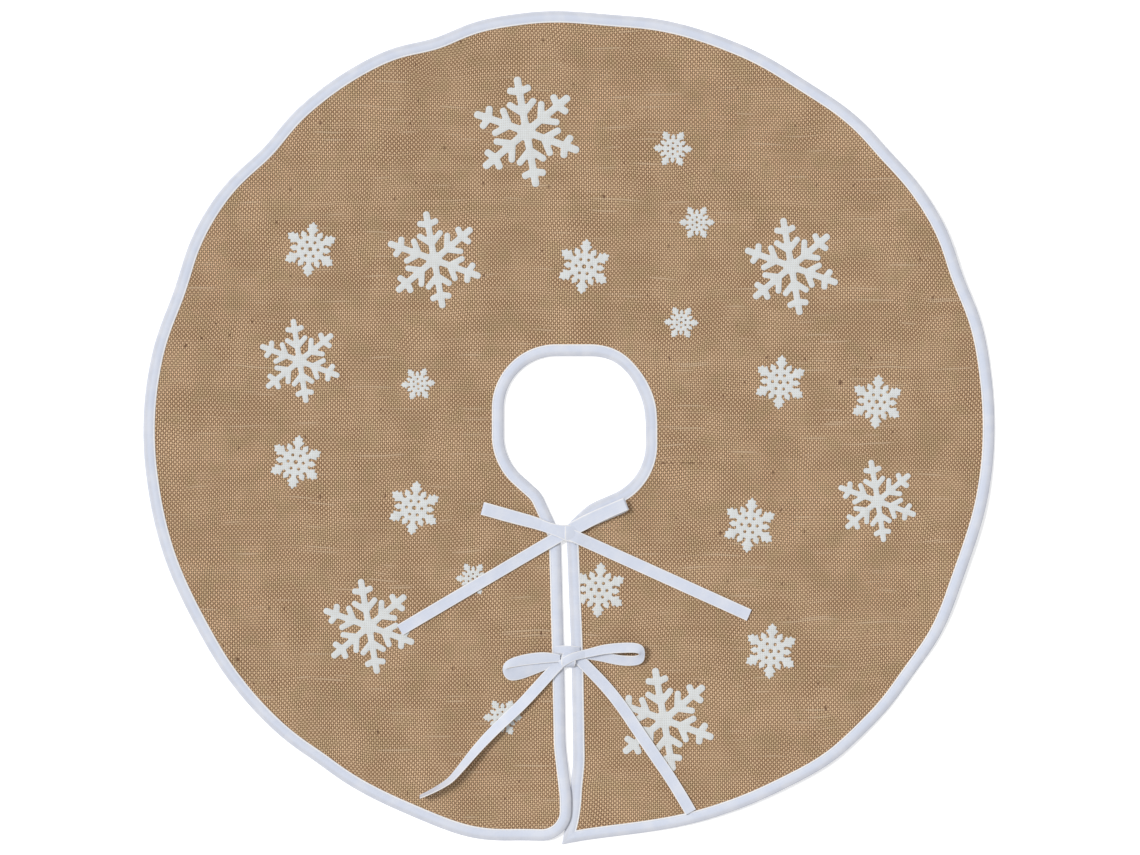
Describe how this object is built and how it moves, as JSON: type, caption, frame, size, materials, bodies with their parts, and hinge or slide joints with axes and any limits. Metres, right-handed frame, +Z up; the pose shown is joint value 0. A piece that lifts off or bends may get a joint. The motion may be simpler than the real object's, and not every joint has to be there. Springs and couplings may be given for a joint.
{
  "type": "tree skirt",
  "caption": "Flat round burlap tree skirt with a trunk hole and a slit, folded tape on every edge, tape bows that close the slit, and raised snowflake prints.",
  "frame": {"origin": "middle of the footprint on the floor, inside the neck hole", "axes": "+Z up from the floor through the printed side, slit and bows towards -Y, +X to the right seen from above with the slit towards the viewer"},
  "size_m": [0.7619, 0.7483, 0.0086],
  "materials": {
    "burlap": "plain-woven jute burlap, about 13 threads to the inch, matt",
    "edge_tape": "white cotton bias tape, folded over the edge and stitched, matt",
    "sewing_thread": "white polyester sewing thread, slight sheen",
    "snow_print": "thick off-white plastisol ink that takes up the weave under it",
    "tie_tape": "white woven cotton tape with firm edges, matt"
  },
  "bodies": {
    "back": {"back_panel": "burlap", "hem_binding_back": "edge_tape", "neck_binding_back": "edge_tape", "seam_thread_back_left": "sewing_thread", "seam_thread_back_right": "sewing_thread", "neck_seam_thread_back": "sewing_thread", "snowflake_large_1": "snow_print", "snowflake_large_2": "snow_print", "snowflake_large_3": "snow_print", "snowflake_large_4": "snow_print", "snowflake_medium_1": "snow_print", "snowflake_medium_2": "snow_print", "snowflake_medium_3": "snow_print", "snowflake_medium_4": "snow_print", "snowflake_small_1": "snow_print", "snowflake_small_2": "snow_print", "snowflake_small_3": "snow_print", "snowflake_small_4": "snow_print"},
    "front": {"left_middle_panel": "burlap", "right_middle_panel": "burlap", "left_front_panel": "burlap", "right_front_panel": "burlap", "hem_binding_left": "edge_tape", "hem_binding_right": "edge_tape", "upper_slit_binding_left": "edge_tape", "upper_slit_binding_right": "edge_tape", "lower_slit_binding_left": "edge_tape", "lower_slit_binding_right": "edge_tape", "neck_binding_left": "edge_tape", "neck_binding_right": "edge_tape", "seam_thread_left": "sewing_thread", "seam_thread_right": "sewing_thread", "upper_tie_end_left": "tie_tape", "upper_tie_end_right": "tie_tape", "lower_tie_end_left": "tie_tape", "lower_tie_end_right": "tie_tape", "tie_bar_tacks": "sewing_thread", "upper_knot": "tie_tape", "lower_knot": "tie_tape", "lower_half_knot": "tie_tape", "snowflake_large_5": "snow_print", "snowflake_large_6": "snow_print", "snowflake_large_7": "snow_print", "snowflake_medium_5": "snow_print", "snowflake_medium_6": "snow_print", "snowflake_medium_7": "snow_print", "snowflake_medium_8": "snow_print", "snowflake_medium_9": "snow_print", "snowflake_small_5": "snow_print", "snowflake_small_6": "snow_print"},
    "upper_left_loop": {"upper_loop_left": "tie_tape"},
    "upper_right_loop": {"upper_loop_right": "tie_tape"},
    "lower_left_loop": {"lower_loop_left": "tie_tape"},
    "lower_right_loop": {"lower_loop_right": "tie_tape"},
    "upper_left_tail": {"upper_tail_left": "tie_tape"},
    "upper_right_tail": {"upper_tail_right": "tie_tape"},
    "lower_left_tail": {"lower_tail_left": "tie_tape"},
    "lower_right_tail": {"lower_tail_right": "tie_tape"}
  },
  "joints": [
    {"name": "front_lift", "type": "hinge", "parent": "back", "child": "front", "pos_m": [0, -0.0035, 0.00235], "axis": [-1, 0, 0], "range_deg": [0, 90]},
    {"name": "upper_left_loop_lift", "type": "hinge", "parent": "front", "child": "upper_left_loop", "pos_m": [-0.0165, -0.088, 0.0052], "axis": [0.2588, 0.9659, 0], "range_deg": [0, 60]},
    {"name": "upper_right_loop_lift", "type": "hinge", "parent": "front", "child": "upper_right_loop", "pos_m": [0.0065, -0.0874, 0.0052], "axis": [0.4004, -0.9164, 0], "range_deg": [0, 60]},
    {"name": "lower_left_loop_lift", "type": "hinge", "parent": "front", "child": "lower_left_loop", "pos_m": [-0.014, -0.2035, 0.0086], "axis": [-0.2079, 0.9781, 0], "range_deg": [0, 60]},
    {"name": "lower_right_loop_lift", "type": "hinge", "parent": "front", "child": "lower_right_loop", "pos_m": [0.012, -0.2035, 0.0086], "axis": [0.0349, -0.9994, 0], "range_deg": [0, 60]},
    {"name": "upper_left_tail_lift", "type": "hinge", "parent": "front", "child": "upper_left_tail", "pos_m": [-0.0175, -0.102, 0.0034], "axis": [-0.5075, 0.8616, 0], "range_deg": [0, 80]},
    {"name": "upper_right_tail_lift", "type": "hinge", "parent": "front", "child": "upper_right_tail", "pos_m": [0.0085, -0.0985, 0.0034], "axis": [-0.4115, -0.9114, 0], "range_deg": [0, 80]},
    {"name": "lower_left_tail_lift", "type": "hinge", "parent": "front", "child": "lower_left_tail", "pos_m": [-0.012, -0.216, 0.0034], "axis": [-0.6796, 0.7336, 0], "range_deg": [0, 80]},
    {"name": "lower_right_tail_lift", "type": "hinge", "parent": "front", "child": "lower_right_tail", "pos_m": [0.012, -0.214, 0.0034], "axis": [-0.709, -0.7052, 0], "range_deg": [0, 80]}
  ]
}
